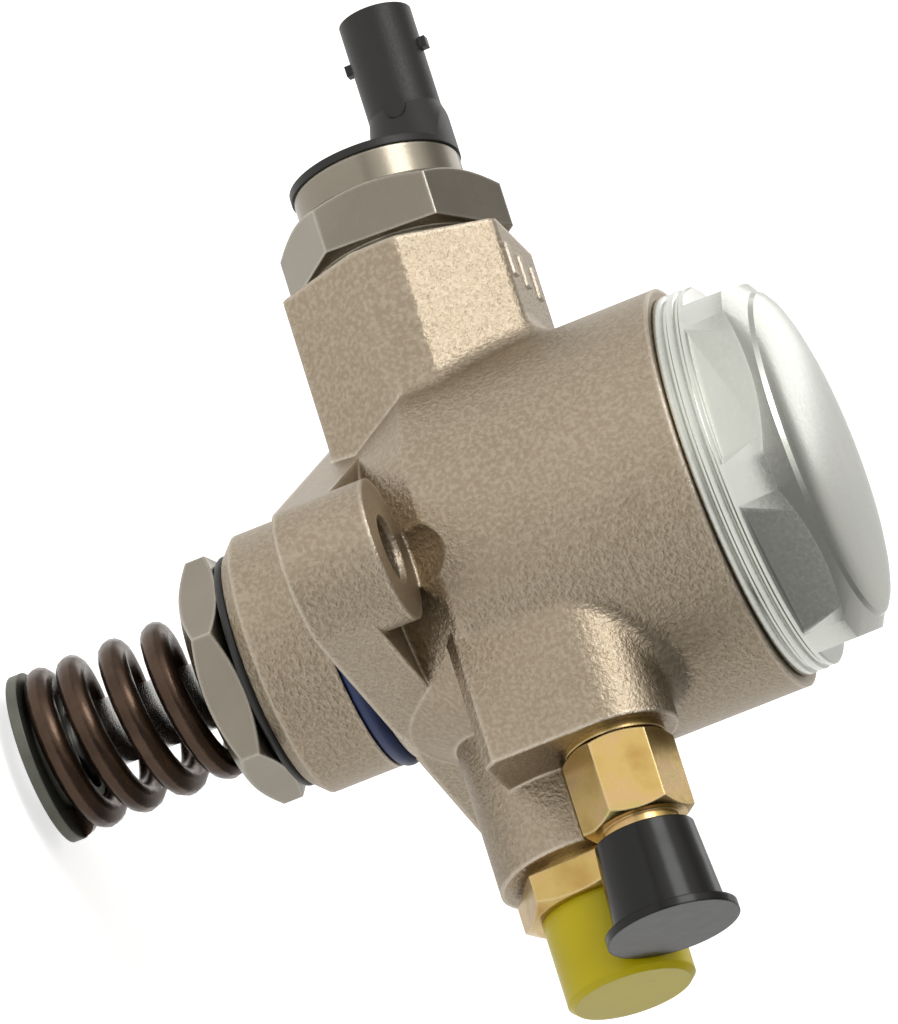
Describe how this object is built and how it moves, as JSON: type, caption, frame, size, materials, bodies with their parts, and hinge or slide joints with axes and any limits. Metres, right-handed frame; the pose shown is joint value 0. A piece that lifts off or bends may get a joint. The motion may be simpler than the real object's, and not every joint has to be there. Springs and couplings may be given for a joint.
{
  "type": "high pressure fuel pump",
  "caption": "Cam-driven single-piston fuel pump: eared flange with pilot and return spring, barrel with hexagonal damper cap, solenoid valve and two capped fittings.",
  "frame": {"origin": "centre of the flange's mating face, on the plunger axis", "axes": "+Z along the plunger axis towards the damper cap, -X towards the solenoid valve, +X towards the fuel fittings"},
  "size_m": [0.1515, 0.0926, 0.125],
  "materials": {
    "cast_body": "nickel-plated casting, fine blasted grain",
    "zinc_cap": "zinc-plated, turned",
    "plated_steel": "nickel-plated steel, satin",
    "ground_steel": "ground steel",
    "spring_steel": "dark brown oil-tempered wire",
    "small_spring": "bright spring wire",
    "blue_rubber": "dark blue fluorocarbon rubber",
    "black_rubber": "black rubber",
    "black_moulding": "black glass-filled moulding",
    "spool_plastic": "natural nylon",
    "copper": "enamelled copper wire",
    "yellow_passivated": "yellow-passivated steel",
    "tinned_blade": "tinned",
    "yellow_plastic": "soft polyethylene",
    "black_plastic": "soft polyethylene"
  },
  "bodies": {
    "pump": {"pump_body": "cast_body", "pilot_o_ring": "blue_rubber", "cylinder_liner": "ground_steel", "seal_holder": "plated_steel", "seal_holder_o_ring": "black_rubber", "plunger_seal": "black_rubber", "return_spring": "spring_steel", "damper_cap": "zinc_cap", "damper_cap_o_ring": "black_rubber", "damper_lower_ring": "ground_steel", "lower_diaphragm": "ground_steel", "upper_diaphragm": "ground_steel", "damper_upper_ring": "ground_steel", "damper_disc_spring": "small_spring", "solenoid_housing": "plated_steel", "solenoid_o_ring": "black_rubber", "coil_bobbin": "spool_plastic", "coil_winding": "copper", "fixed_core": "ground_steel", "armature_spring": "small_spring", "intake_valve_seat": "ground_steel", "intake_valve_spring": "small_spring", "connector_body": "black_moulding", "connector_terminals": "tinned_blade", "discharge_seat": "ground_steel", "discharge_spring": "small_spring", "outlet_fitting": "yellow_passivated", "outlet_washer": "yellow_passivated", "outlet_cap": "yellow_plastic", "inlet_fitting": "yellow_passivated", "inlet_washer": "yellow_passivated", "inlet_filter": "small_spring", "inlet_cap": "black_plastic"},
    "plunger_set": {"plunger": "ground_steel", "spring_seat": "ground_steel", "spring_keeper": "ground_steel"},
    "armature_set": {"armature": "ground_steel", "valve_pin": "ground_steel"},
    "intake_disc": {"intake_valve": "ground_steel"},
    "check_ball": {"discharge_ball": "ground_steel"}
  },
  "joints": [
    {"name": "plunger_slide", "type": "slide", "parent": "pump", "child": "plunger_set", "axis": [0, 0, 1], "range_m": [0, 0.005], "stiffness_N_per_m": 15000, "springref_m": -0.004, "deforming": ["return_spring"]},
    {"name": "armature_slide", "type": "slide", "parent": "pump", "child": "armature_set", "axis": [-1, 0, 0], "range_m": [0, 0.0005], "stiffness_N_per_m": 4000, "springref_m": -0.002},
    {"name": "intake_valve_slide", "type": "slide", "parent": "pump", "child": "intake_disc", "axis": [-1, 0, 0], "range_m": [0, 0.0005]},
    {"name": "check_ball_slide", "type": "slide", "parent": "pump", "child": "check_ball", "axis": [1, 0, 0], "range_m": [0, 0.0007], "stiffness_N_per_m": 1500, "springref_m": -0.001}
  ],
  "couplings": [
    {"joint": "intake_valve_slide", "follows": "armature_slide", "ratio": 1}
  ]
}
